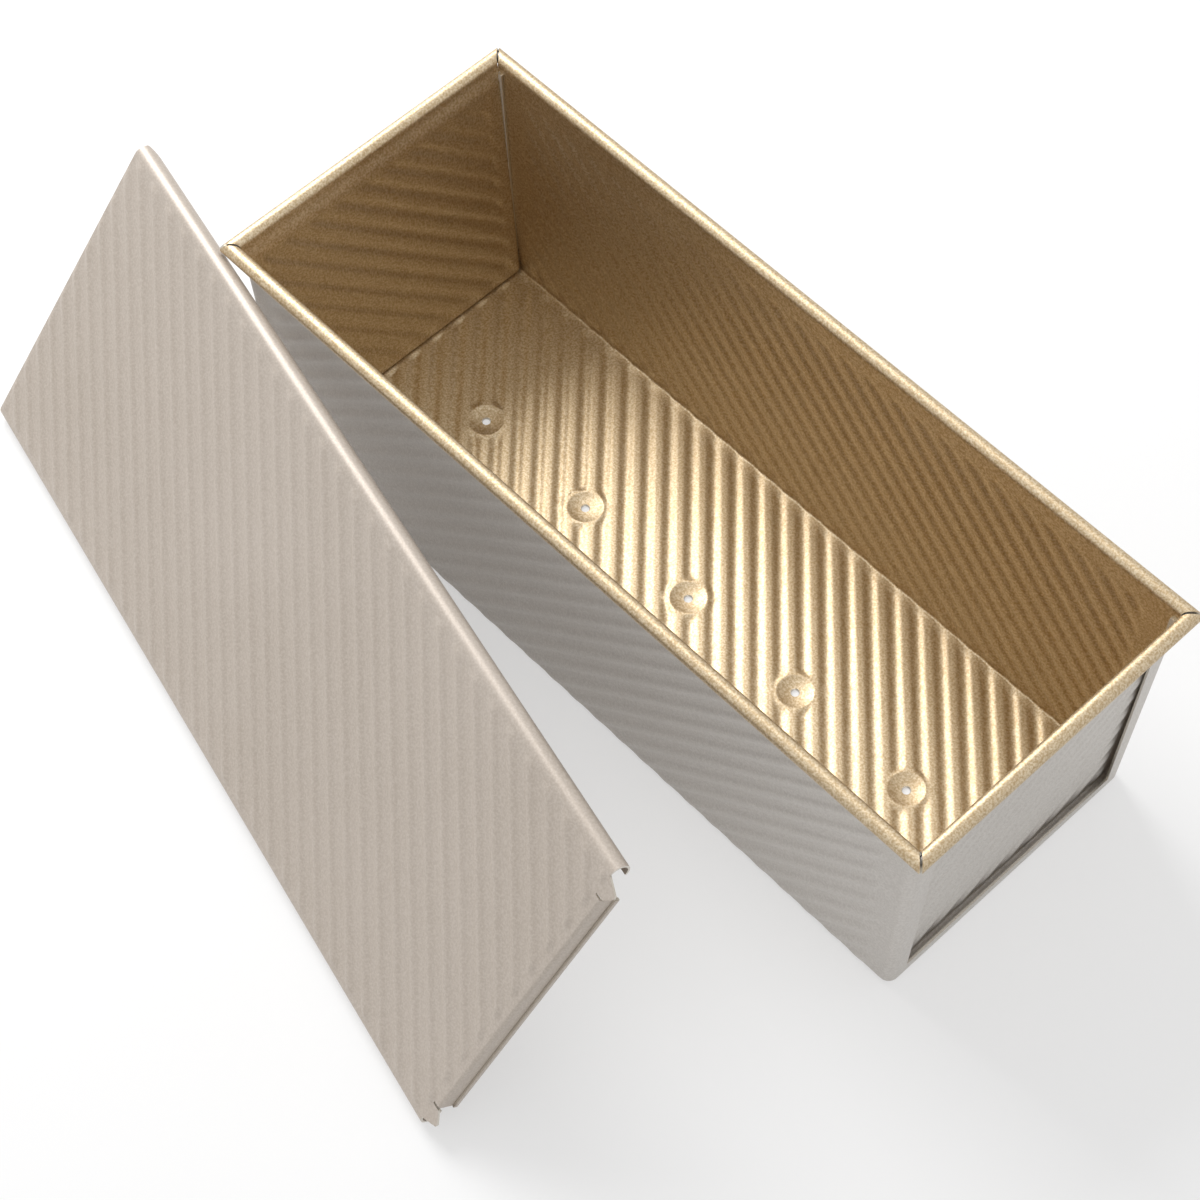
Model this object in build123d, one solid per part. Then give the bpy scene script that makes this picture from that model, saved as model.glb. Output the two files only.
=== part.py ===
from build123d import *

import math
import os

# Pullman loaf pan with a slide-on lid, in millimetres.
# +X runs along the pan to its near end, +Y to its far long side, +Z up.
# The origin is the middle of the pan's foot, on the table.
# The lid is modelled in its closed place over the rim, then laid where it leans on the pan.

# ---- driving dimensions: the sheet and the ribs pressed through it ----
sheet = 0.8
rib_relief = 0.9
rib_pitch = 8.1
rib_foot_width = 4.8
rib_crest_width = 2.4
rib_phase = 0.8
panel_rib_phase = 3.1

# ---- driving dimensions: the pan ----
rim_length = 330.0
rim_width = 130.0
pan_height = 113.0
roll_diameter = 5.4
roll_slit_angle = 35.0
mitre_gap = 0.9
neck_drop = 3.0
floor_width = 114.4
floor_length = 300.4
neck_length = 316.0
body_foot_length = 309.6
body_head_length = 320.4
body_head_gap = 0.4
corner_radius = 4.0
fold_radius = 1.6
panel_corner_radius = 2.4
panel_fold_radius = 1.6
lip_height = 6.3
flange_width = 8.0
seam_gap = 0.15
wire_gap = 0.1

# ---- driving dimensions: the flat fields that the pan's ribs fill ----
field_length = 292.4
floor_field_width = 106.4
wall_field_foot = 3.6
wall_field_head = 104.6
panel_field_width = 96.0
panel_field_foot = 5.0
panel_field_head = 101.0

# ---- driving dimensions: the vents in the floor ----
vent_count = 5
vent_spacing = 54.0
vent_bore = 3.4
dish_diameter = 13.0
dish_foot_diameter = 8.6

# ---- driving dimensions: the lid ----
rail_gap = 0.5
rail_hook_angle = 105.0
rail_setback = 3.0
rail_lead_in = 10.0
entry_gap = 0.4
stop_gap = 0.4
stop_height = 7.9
stop_width = 107.0
stop_fold_radius = 1.2
hem_height = 2.2
hem_radius = 0.7
ear_reach = 3.6
ear_gap = 0.8
ear_radius = 0.9
lid_rib_entry_margin = 2.5
lid_rib_stop_margin = 5.5
lid_rib_side_margin = 1.5
lid_rib_phase = 5.45

# ---- driving dimensions: where the lid leans ----
lean_angle = 54.6
lean_yaw = -13.0
lean_foot_x = -235.4
lean_foot_y = -125.2
table_gap = 0.1

# ---- places worked out from the sizes ----
roll_radius = roll_diameter / 2
roll_x = rim_length / 2 - roll_radius
roll_y = rim_width / 2 - roll_radius
roll_z = pan_height - roll_radius
floor_z = rib_relief
floor_top_z = floor_z + sheet
neck_z = roll_z - neck_drop
body_top_z = roll_z - roll_radius - body_head_gap
wall_foot_y = floor_width / 2
wall_draft = math.atan2(roll_y - roll_radius - wall_foot_y, roll_z - floor_z)
panel_draft = math.atan2((neck_length - floor_length) / 2, neck_z - floor_z)
lip_top_z = floor_z + lip_height
window_width = floor_width + 2 * sheet - 2 * flange_width
mitre_back = mitre_gap / math.sqrt(2)
rib_slope = math.atan2(rib_relief, (rib_foot_width - rib_crest_width) / 2)
groove_inset = 2 * sheet * math.tan(rib_slope / 2)
rib_step = rib_pitch * math.sqrt(2)
rail_bore = roll_radius + rail_gap
rail_radius = rail_bore + sheet
plate_z = roll_z + rail_bore
entry_x = entry_gap - rim_length / 2
stop_x = rim_length / 2 + stop_gap + sheet
bite = 0.1
far = rim_length
from_below = (Align.CENTER, Align.CENTER, Align.MIN)


def wall_y(z):
    """Half width inside the long walls at a height."""
    return wall_foot_y + (z - floor_z) * math.tan(wall_draft)


def panel_x(z):
    """Half length inside the end panels at a height."""
    return floor_length / 2 + (z - floor_z) * math.tan(panel_draft)


def body_x(z):
    """Half length over the folded end flanges at a height."""
    rise = (z - floor_z) / (body_top_z - floor_z)
    return (body_foot_length + (body_head_length - body_foot_length) * rise) / 2


def body(low_z, high_z, inset, fold):
    """The pan's tapered body between two heights, drawn in by an inset, its lower edges rounded."""
    sections = []
    for z in (low_z, high_z):
        length = 2 * (body_x(z) - inset)
        width = 2 * (wall_y(z) + sheet - inset)
        sections.append(Pos(0, 0, z) * RectangleRounded(length, width, corner_radius - inset))
    solid = loft(sections, ruled=True)
    return fillet(solid.faces().sort_by(Axis.Z)[0].edges(), fold)


def rib_runs(length, width, slant, shift):
    """Middle and run of each 45 degree rib that fits a flat field."""
    runs = []
    count = math.ceil((length + width + abs(shift)) / rib_step)
    for index in range(-count, count + 1):
        offset = shift + index * rib_step
        start = max(-length / 2, offset - width / 2)
        end = min(length / 2, offset + width / 2)
        run = (end - start) * math.sqrt(2)
        if run > 2 * rib_foot_width:
            middle = (start + end) / 2
            runs.append((middle, slant * (middle - offset), run))
    return runs


def ridge(run, foot, crest, low_z, high_z):
    """A flat-topped ridge along X whose four sides lean in alike."""
    sections = [
        Pos(0, 0, low_z) * Rectangle(run, foot),
        Pos(0, 0, high_z) * Rectangle(run - foot + crest, crest),
    ]
    return loft(sections, ruled=True)


def press_ribs(plate, field, length, width, slant, shift, dishes=()):
    """Press ribs through a flat stretch of sheet, outward along the field's normal.

    The field's plane lies on the inner face of the sheet. The work is done in a frame
    turned so that the ribs lie along X. The sheet stays flat for a ring round each dish.
    """
    turn = Rot(0, 0, 45 * slant)
    turned = field.location * turn
    widen = 2 * bite / math.tan(rib_slope)
    crests, grooves = [], []
    for middle_x, middle_y, run in rib_runs(length, width, slant, shift):
        place = turn.inverse() * Pos(middle_x, middle_y, 0) * turn
        crest = (run + widen, rib_foot_width + widen, rib_crest_width)
        groove = [size - groove_inset for size in crest]
        crests.append(place * ridge(*crest, sheet - bite, sheet + rib_relief))
        grooves.append(place * ridge(*groove, -bite, rib_relief))
    if dishes:
        flats = [turned.inverse() * Pos(x, 0, 0) for x in dishes]
        crest_flats = [flat * Cylinder(dish_diameter / 2 + sheet, pan_height) for flat in flats]
        groove_flats = [flat * Cylinder(dish_diameter / 2 + 2 * sheet, pan_height) for flat in flats]
        crests = [Compound(crests) - crest_flats]
        grooves = [Compound(grooves) - groove_flats]
    pressed = turned.inverse() * plate + crests - grooves
    return turned * pressed


def polar(centre, radius, degrees):
    """A point on a circle."""
    angle = math.radians(degrees)
    return (centre[0] + radius * math.cos(angle), centre[1] + radius * math.sin(angle))


def curl(centre, radius, start, end):
    """The section of a strip of sheet curled round a centre from one angle to another."""
    middle = (start + end) / 2
    inner = radius - sheet
    outline = [
        ThreePointArc(*[polar(centre, radius, angle) for angle in (start, middle, end)]),
        Line(polar(centre, radius, end), polar(centre, inner, end)),
        ThreePointArc(*[polar(centre, inner, angle) for angle in (end, middle, start)]),
        Line(polar(centre, inner, start), polar(centre, radius, start)),
    ]
    return make_face(outline)


def across(section, half_run):
    """Run a section drawn in Y and Z evenly along X."""
    return extrude(Plane.YZ * section, half_run, both=True)


def rolled_edge(half_run, outer, foot):
    """A rim bar along X on the +Y side: the top of the wall, curled outward over the wire.

    foot is the wall's inner face where the curl's throat starts, as distance out and height.
    """
    centre = (outer - roll_radius, roll_z)
    depth = 2 * roll_diameter
    half_mitre = half_run - mitre_back
    mitres = Polyline(
        (depth - half_mitre, outer - depth),
        (-half_mitre - bite, outer + bite),
        (half_mitre + bite, outer + bite),
        (half_mitre - depth, outer - depth),
        close=True,
    )
    roll = across(curl(centre, roll_radius, 180, roll_slit_angle - 180), half_run)
    roll = roll & extrude(make_face(mitres), 2 * pan_height)
    head = polar(centre, roll_radius, 180)
    inner_side = [foot, head]
    outer_side = [(head[0] + sheet, head[1]), (foot[0] + sheet, foot[1])]
    throat = make_face(Polyline(*inner_side, *outer_side, close=True))
    return roll + across(throat, half_mitre - roll_diameter)


def vent_places():
    """Where the vents lie along the middle of the floor."""
    return [(index - (vent_count - 1) / 2) * vent_spacing for index in range(vent_count)]


def vent_dish():
    """A shallow round dish with the vent's bore in the middle of its flat foot."""
    bore = vent_bore / 2
    foot = dish_foot_diameter / 2
    brim = dish_diameter / 2
    outline = Polyline(
        (bore, 0),
        (foot, 0),
        (brim, floor_z),
        (brim + bite, floor_z),
        (brim + bite, floor_top_z),
        (brim, floor_top_z),
        (foot, sheet),
        (bore, sheet),
        close=True,
    )
    return revolve(Plane.XZ * make_face(outline), Axis.Z)


def make_pan_wrap():
    """One folded sheet: the floor, the long walls with their rolled rims, the end flanges and lips."""
    wrap = body(floor_z, body_top_z, 0, fold_radius)
    wrap -= body(floor_top_z, body_top_z + bite, sheet, fold_radius - sheet)
    wrap -= Pos(0, 0, lip_top_z) * Box(far + rim_length, window_width, pan_height, align=from_below)
    field_z = (wall_field_foot + wall_field_head) / 2
    field_height = wall_field_head - wall_field_foot
    for side in (1, -1):
        normal = (0, side * math.cos(wall_draft), -math.sin(wall_draft))
        field = Plane((0, side * wall_y(field_z), field_z), x_dir=(1, 0, 0), z_dir=normal)
        shift = rib_phase - side * (wall_foot_y + field_z - floor_z)
        wrap = press_ribs(wrap, field, field_length, field_height, 1, shift)
        foot = (wall_y(wall_field_head), wall_field_head)
        edge = rolled_edge(rim_length / 2, rim_width / 2, foot)
        wrap += Rot(0, 0, 90 - 90 * side) * edge
    field = Plane((0, 0, floor_top_z), x_dir=(1, 0, 0), z_dir=(0, 0, -1))
    wrap = press_ribs(wrap, field, field_length, floor_field_width, 1, rib_phase, vent_places())
    for x in vent_places():
        wrap -= Pos(x, 0, 0) * Cylinder(dish_diameter / 2, 4 * floor_top_z)
        wrap += Pos(x, 0, 0) * vent_dish()
    return wrap


def beyond_panel(offset):
    """Everything past the end panel's inner face, moved outward by an offset."""
    outline = Polyline(
        (panel_x(0) + offset, 0),
        (panel_x(pan_height) + offset, pan_height),
        (far, pan_height),
        (far, 0),
        close=True,
    )
    return extrude(Plane.XZ * make_face(outline), rim_width, both=True)


def panel_block(inset, corner, fold):
    """The space past an end panel's face, drawn in by an inset and rounded where the sheet folds."""
    foot_z = floor_top_z + seam_gap + inset
    head_z = neck_z + inset
    foot_y = wall_y(foot_z) - seam_gap - inset
    head_y = wall_y(head_z) - seam_gap - inset
    outline = Polyline((-foot_y, foot_z), (foot_y, foot_z), (head_y, head_z), (-head_y, head_z), close=True)
    section = make_face(outline)
    section = fillet(section.vertices().sort_by(Axis.Y)[:2], corner)
    block = extrude(Plane.YZ * section, far) & beyond_panel(inset)
    middle = (panel_x(roll_z / 2) + inset, 0, roll_z / 2)
    face = block.faces().sort_by_distance(middle)[0]
    return fillet(face.edges().sort_by(Axis.Z)[:-1], fold)


def make_end_panel():
    """The ribbed panel of the +X end: a shallow tray that opens outward, with its own rolled rim."""
    tray = panel_block(0, panel_corner_radius, panel_fold_radius)
    tray -= panel_block(sheet, panel_corner_radius - sheet, panel_fold_radius - sheet)
    tray = tray & body(floor_top_z, neck_z, sheet + seam_gap, fold_radius - sheet)
    edge = rolled_edge(rim_width / 2, rim_length / 2, (panel_x(neck_z), neck_z))
    tray += Rot(0, 0, -90) * edge
    field_z = (panel_field_foot + panel_field_head) / 2
    field_height = panel_field_head - panel_field_foot
    normal = (math.cos(panel_draft), 0, -math.sin(panel_draft))
    field = Plane((panel_x(field_z), 0, field_z), x_dir=(0, 1, 0), z_dir=normal)
    return press_ribs(tray, field, panel_field_width, field_height, 1, panel_rib_phase)


def make_rim_wire():
    """The wire loop that the rim is rolled over."""
    radius = roll_radius - sheet - wire_gap
    corners = [(roll_x, roll_y), (-roll_x, roll_y), (-roll_x, -roll_y), (roll_x, -roll_y)]
    wire = Rot(0, 90, 0) * Cylinder(radius, 2 * roll_x)
    loop = [Pos(0, side * roll_y, roll_z) * wire for side in (1, -1)]
    wire = Rot(90, 0, 0) * Cylinder(radius, 2 * roll_y)
    loop += [Pos(side * roll_x, 0, roll_z) * wire for side in (1, -1)]
    loop += [Pos(x, y, roll_z) * Sphere(radius) for x, y in corners]
    return loop[0] + loop[1:]


def stop_flange():
    """The lid's stop end: a strip of the plate, the flange folded down from it and its hemmed foot."""
    top_z = plate_z + sheet
    foot_z = top_z - stop_height
    root_x = stop_x - 2 * rail_setback
    outline = Polyline(
        (root_x, top_z),
        (stop_x, top_z),
        (stop_x, foot_z + hem_height),
        (stop_x + sheet, foot_z + hem_height),
        (stop_x + sheet, foot_z),
        (stop_x - sheet, foot_z),
        (stop_x - sheet, plate_z),
        (root_x, plate_z),
        close=True,
    )
    flange = extrude(Plane.XZ * make_face(outline), stop_width / 2, both=True)
    corners = [
        (stop_x, top_z, stop_fold_radius),
        (stop_x - sheet, plate_z, stop_fold_radius - sheet),
        (stop_x + sheet, foot_z, hem_radius),
        (stop_x - sheet, foot_z, hem_radius),
    ]
    for x, z, radius in corners:
        edge = flange.edges().sort_by_distance((x, 0, z))[0]
        flange = fillet(edge, radius)
    return flange


def lid_ear():
    """The corner of the plate that stays flat beside the stop flange, on the +Y side."""
    root_x = stop_x - 2 * rail_setback
    inner_y = stop_width / 2 + ear_gap
    outline = Polyline(
        (root_x, inner_y),
        (stop_x + ear_reach, inner_y),
        (stop_x - rail_setback, roll_y),
        (root_x, roll_y),
        close=True,
    )
    ear = Pos(0, 0, plate_z) * extrude(make_face(outline), sheet)
    tip = ear.edges().filter_by(Axis.Z).sort_by(Axis.X)[-1]
    return fillet(tip, ear_radius)


def make_lid_panel():
    """The lid over the closed pan: a ribbed plate, a curled rail down each side and a stop flange."""
    side_run = stop_x - rail_setback - entry_x
    at_entry = (Align.MIN, Align.CENTER, Align.MIN)
    lid = Pos(entry_x, 0, plate_z) * Box(side_run, 2 * roll_y, sheet, align=at_entry)
    rail = curl((roll_y, roll_z), rail_radius, 90, -rail_hook_angle)
    lead_in = Polyline(
        (entry_x - bite, roll_z),
        (entry_x, roll_z),
        (entry_x + rail_lead_in, roll_z - rail_radius - bite),
        (entry_x - bite, roll_z - rail_radius - bite),
        close=True,
    )
    rail = Pos(entry_x, 0, 0) * extrude(Plane.YZ * rail, side_run)
    rail -= extrude(Plane.XZ * make_face(lead_in), rim_width, both=True)
    edge = rail + lid_ear()
    lid += [edge, mirror(edge, Plane.XZ), stop_flange()]
    field_start = entry_x + lid_rib_entry_margin
    field_end = stop_x - lid_rib_stop_margin
    field = Plane(((field_start + field_end) / 2, 0, plate_z))
    field_width = 2 * (roll_y - lid_rib_side_margin)
    return press_ribs(lid, field, field_end - field_start, field_width, -1, lid_rib_phase)


def leaning():
    """Where the closed lid goes when it leans: its -Y rail on the table, turned and tipped back."""
    to_table = Pos(lean_foot_x, lean_foot_y, rail_radius + table_gap)
    return to_table * Rot(0, 0, lean_yaw) * Rot(lean_angle, 0, 0) * Pos(-entry_x, roll_y, -roll_z)


end_panel = make_end_panel()
parts = {
    "pan_wrap": make_pan_wrap(),
    "end_panel_right": end_panel,
    "end_panel_left": Rot(0, 0, 180) * end_panel,
    "rim_wire": make_rim_wire(),
    "lid_panel": leaning() * make_lid_panel(),
}
os.makedirs("parts", exist_ok=True)
for name, piece in parts.items():
    export_step(piece, f"parts/{name}.step")
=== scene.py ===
"""Looks of a pullman loaf pan of ribbed sheet, with its slide-on lid leaning against one long side.

Lengths in the classes are millimetres in the part's own frame: +X runs along the pan towards its near
end, +Y across it away from the lid and +Z up. Meshes are handed to Blender in metres.
"""

from __future__ import annotations

import logging
import math
from collections.abc import Callable, Sequence
from dataclasses import dataclass, field
from enum import Enum

import bpy
import numpy as np
from mathutils import Matrix, Vector

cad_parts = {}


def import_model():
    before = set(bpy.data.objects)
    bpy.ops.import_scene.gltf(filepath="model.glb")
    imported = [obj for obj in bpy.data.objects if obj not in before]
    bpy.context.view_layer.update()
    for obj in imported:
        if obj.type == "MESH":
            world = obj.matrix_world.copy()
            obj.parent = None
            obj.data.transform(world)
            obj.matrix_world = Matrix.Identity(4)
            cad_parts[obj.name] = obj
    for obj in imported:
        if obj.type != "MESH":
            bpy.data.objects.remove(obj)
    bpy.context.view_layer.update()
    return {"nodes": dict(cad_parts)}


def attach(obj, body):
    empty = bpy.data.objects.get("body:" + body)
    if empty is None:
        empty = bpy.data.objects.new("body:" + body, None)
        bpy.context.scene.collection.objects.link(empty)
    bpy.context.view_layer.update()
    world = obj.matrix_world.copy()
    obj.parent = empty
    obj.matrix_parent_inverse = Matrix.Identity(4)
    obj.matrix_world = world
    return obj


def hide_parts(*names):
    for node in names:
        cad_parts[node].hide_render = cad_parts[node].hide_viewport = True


LOG = logging.getLogger("loaf_pan")

MM = 0.001

SHEET_THICKNESS = 0.8
RIB_PITCH = 8.1
RIB_STEP = RIB_PITCH * math.sqrt(2)
GRID_STEP = RIB_STEP / 12
# Points that lie in one cell of this fine a grid are the same point of the sheet.
WELDS_PER_MM = 200
# Columns that no face uses stand this far beyond their panel, so that they weld to nothing.
SEAM_LAP = 0.02
# Slack for picking grid lines that lie on a limit.
LINE_SLACK = 0.1
WHITE = (1.0, 1.0, 1.0, 1.0)

Array = np.ndarray


class Skin(Enum):
    """Side of a pressed sheet that a face belongs to; the value is its material index."""

    FOOD = 0
    BACK = 1
    EDGE = 2


class End(Enum):
    """End of the pan; the value is the half turn about Z that carries the +X end there."""

    NEAR = 0.0
    FAR = math.pi


class Rider(Enum):
    """Packed body that a piece moves with."""

    PAN = "pan"
    LID = "lid"


Skins = dict[Skin, bpy.types.Material]


def linear(code: str) -> tuple[float, float, float, float]:
    """Turns an sRGB hex colour into linear light.

    Args:
        code: six hex digits, with or without a leading #.

    Returns:
        Red, green, blue and an alpha of 1.
    """
    digits = code.lstrip("#")
    channels = [int(digits[i : i + 2], 16) / 255 for i in (0, 2, 4)]
    light = [c / 12.92 if c <= 0.04045 else ((c + 0.055) / 1.055) ** 2.4 for c in channels]
    return (light[0], light[1], light[2], 1.0)


def add_node(
    tree: bpy.types.NodeTree,
    kind: str,
    inputs: dict[str | int, object] | None = None,
    **settings: object,
) -> bpy.types.Node:
    """Adds one shader node.

    Args:
        tree: node tree that receives the node.
        kind: Blender's class name of the node, without ShaderNode at its front.
        inputs: for each input, an output socket to link from or a plain value.
        settings: attributes of the node itself, such as its blend type.

    Returns:
        The new node.
    """
    node = tree.nodes.new("ShaderNode" + kind)
    for name, value in settings.items():
        setattr(node, name, value)
    for name, value in (inputs or {}).items():
        if isinstance(value, bpy.types.NodeSocket):
            tree.links.new(value, node.inputs[name])
        else:
            node.inputs[name].default_value = value
    return node


def blank_tree(holder: bpy.types.Material | bpy.types.World) -> bpy.types.NodeTree:
    """Switches a material or a world to nodes, and returns its emptied tree."""
    holder.use_nodes = True
    holder.node_tree.nodes.clear()
    return holder.node_tree


def add_object(name: str, data: bpy.types.ID) -> bpy.types.Object:
    """Makes an object of a mesh, lamp or camera, links it to the scene and returns it."""
    thing = bpy.data.objects.new(name, data)
    bpy.context.scene.collection.objects.link(thing)
    return thing


def per_mm(size: float) -> float:
    """Texture scale, in cycles per metre, of a pattern that repeats every size millimetres."""
    return 1.0 / (size * MM)


@dataclass(frozen=True)
class SprayedCoat:
    """Non-stick coat with metal flake, sprayed on steel sheet and cured.

    Flake pigment lies in a clear binder, so the coat mirrors its surroundings softly, in its own colour,
    and glints in small grains. The spray leaves a fine pebbled texture and slow changes of gloss.
    """

    name: str
    body: str
    shade: str
    flake: str
    roughness: float
    roughness_spread: float
    grain: float = 0.7
    # Real flakes are under 0.1 mm. They are drawn this coarse so that a view of the whole pan shows them.
    flake_size: float = 0.8
    flake_share: float = 0.6
    glint_range: tuple[float, float] = (0.36, 0.68)
    cloud: float = 70.0
    bump: float = 0.045
    # A coat full of flake acts as metal. The greys hold less flake, so they show plain shading too.
    metallic: float = 1.0

    def build(self) -> bpy.types.Material:
        """Builds the coat's node tree.

        Returns:
            The new material.
        """
        material = bpy.data.materials.new(self.name)
        tree = blank_tree(material)
        place = add_node(tree, "TexCoord").outputs["Object"]
        cloud, flakes, grain = (
            add_node(
                tree,
                "TexNoise",
                {"Vector": place, "Scale": per_mm(size), "Detail": detail, "Roughness": rough},
            ).outputs["Fac"]
            for size, detail, rough in (
                (self.cloud, 3.0, 0.5),
                (self.flake_size, 1.0, 0.7),
                (self.grain, 2.0, 0.6),
            )
        )
        tone = add_node(
            tree,
            "Mix",
            {"Factor": cloud, 6: linear(self.shade), 7: linear(self.body)},
            data_type="RGBA",
        ).outputs[2]
        glint = add_node(
            tree,
            "MapRange",
            {
                "Value": flakes,
                "From Min": self.glint_range[0],
                "From Max": self.glint_range[1],
                "To Max": self.flake_share,
            },
        ).outputs["Result"]
        colour = add_node(
            tree,
            "Mix",
            {"Factor": glint, 6: tone, 7: linear(self.flake)},
            data_type="RGBA",
        ).outputs[2]
        gloss = add_node(
            tree,
            "MapRange",
            {
                "Value": cloud,
                "From Min": 0.3,
                "From Max": 0.7,
                "To Min": self.roughness - self.roughness_spread,
                "To Max": self.roughness + self.roughness_spread,
            },
        ).outputs["Result"]
        pebble = add_node(
            tree,
            "Bump",
            {"Height": grain, "Strength": 0.5, "Distance": self.bump * MM},
        ).outputs["Normal"]
        shader = add_node(
            tree,
            "BsdfPrincipled",
            {"Base Color": colour, "Roughness": gloss, "Normal": pebble, "Metallic": self.metallic},
        )
        add_node(tree, "OutputMaterial", {"Surface": shader.outputs["BSDF"]})
        return material


@dataclass(frozen=True)
class BareSteel:
    """Mild steel left bare: the drawn rim wire, and the sheet's sheared edges.

    The tool leaves fine parallel marks, and air dulls it to a grey that still catches a line of light.
    """

    name: str
    body: str
    dull: str
    roughness: float
    mark_spacing: float
    mark_depth: float
    mark_stretch: float = 12.0

    def build(self) -> bpy.types.Material:
        """Builds the steel's node tree.

        Returns:
            The new material.
        """
        material = bpy.data.materials.new(self.name)
        tree = blank_tree(material)
        place = add_node(tree, "TexCoord").outputs["Object"]
        stretched = add_node(
            tree, "Mapping", {"Vector": place, "Scale": (1.0, 1.0, self.mark_stretch)}
        ).outputs["Vector"]
        marks = add_node(
            tree,
            "TexNoise",
            {"Vector": stretched, "Scale": per_mm(self.mark_spacing), "Detail": 2.0},
        ).outputs["Fac"]
        colour = add_node(
            tree,
            "Mix",
            {"Factor": marks, 6: linear(self.dull), 7: linear(self.body)},
            data_type="RGBA",
        ).outputs[2]
        gloss = add_node(
            tree,
            "MapRange",
            {"Value": marks, "To Min": self.roughness - 0.06, "To Max": self.roughness + 0.08},
        ).outputs["Result"]
        scratch = add_node(
            tree,
            "Bump",
            {"Height": marks, "Strength": 0.4, "Distance": self.mark_depth * MM},
        ).outputs["Normal"]
        shader = add_node(
            tree,
            "BsdfPrincipled",
            {"Base Color": colour, "Roughness": gloss, "Normal": scratch, "Metallic": 1.0},
        )
        add_node(tree, "OutputMaterial", {"Surface": shader.outputs["BSDF"]})
        return material


CHAMPAGNE_COAT = SprayedCoat(
    name="champagne_non_stick_coat",
    body="#BCA685",
    shade="#AF9773",
    flake="#ECDFC5",
    roughness=0.46,
    roughness_spread=0.03,
)
GREY_COAT = SprayedCoat(
    name="warm_grey_outer_coat",
    body="#CFCAC4",
    shade="#BFB9B2",
    flake="#EFEBE6",
    metallic=0.3,
    roughness=0.48,
    roughness_spread=0.03,
    flake_share=0.35,
)
LID_COAT = SprayedCoat(
    name="warm_grey_lid_coat",
    body="#BFB4A9",
    shade="#B0A497",
    flake="#DED5CC",
    metallic=0.3,
    roughness=0.42,
    roughness_spread=0.03,
    flake_share=0.3,
)
SHEARED_EDGE = BareSteel(
    name="sheared_steel_edge",
    body="#E6E1D8",
    dull="#B9B3A8",
    roughness=0.32,
    mark_spacing=0.6,
    mark_depth=0.02,
)
RIM_WIRE_STEEL = BareSteel(
    name="drawn_steel_wire",
    body="#8E8A84",
    dull="#56524D",
    roughness=0.45,
    mark_spacing=0.5,
    mark_depth=0.02,
)


def smooth(t: Array) -> Array:
    """Eased 0 to 1 ramp, level at both ends."""
    t = np.clip(t, 0.0, 1.0)
    return t * t * (3 - 2 * t)


def rows_between(start: float, stop: float, phase: float) -> list[float]:
    """Grid lines that follow the ribs' pitch between two limits.

    Args:
        start: first line.
        stop: last line.
        phase: a value that every inner line differs from by whole grid steps.

    Returns:
        The lines in rising order, limits included.
    """
    first = math.ceil((start - phase) / GRID_STEP + 0.3)
    last = math.floor((stop - phase) / GRID_STEP - 0.3)
    return [start, *(phase + i * GRID_STEP for i in range(first, last + 1)), stop]


def spread(limit: Array, even_half: float, phase: float, steps: int) -> Array:
    """Columns of each row: on the ribs' grid inside even_half, and stretched beyond it.

    Args:
        limit: half the length of each row.
        even_half: half the length of the even part.
        phase: a value that the even columns differ from by whole grid steps.
        steps: columns from the end of the even part to the row's end, both counted.

    Returns:
        One row of places for each limit.
    """
    even = np.array(rows_between(-even_half, even_half, phase))
    side = even_half + (limit[:, None] - even_half) * np.linspace(0, 1, steps)[1:]
    middle = np.broadcast_to(even, (len(limit), len(even)))
    return np.concatenate([-side[:, ::-1], middle, side], 1)


@dataclass(frozen=True)
class RibPress:
    """Parallel ribs pressed into a sheet at 45 degrees, rising towards its back."""

    phase: float
    height: float = 0.66
    foot: float = 6.2
    crest: float = 0.5

    def rise(self, along: Array) -> Array:
        """Height of the ribs.

        Args:
            along: coordinate that grows across the ribs, measured along the sheet's edge.

        Returns:
            Rise at each place, without any run-out.
        """
        turn = (along - self.phase) / RIB_STEP
        away = np.abs(turn - np.round(turn)) * RIB_PITCH
        return self.height * smooth((self.foot / 2 - away) / ((self.foot - self.crest) / 2))


def run_out(place: Array, low: float, high: float, taper: float) -> Array:
    """How fully a rib stands at a place: 0 outside low to high, 1 once taper inside it."""
    return smooth((place - low) / taper) * smooth((high - place) / taper)


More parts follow.
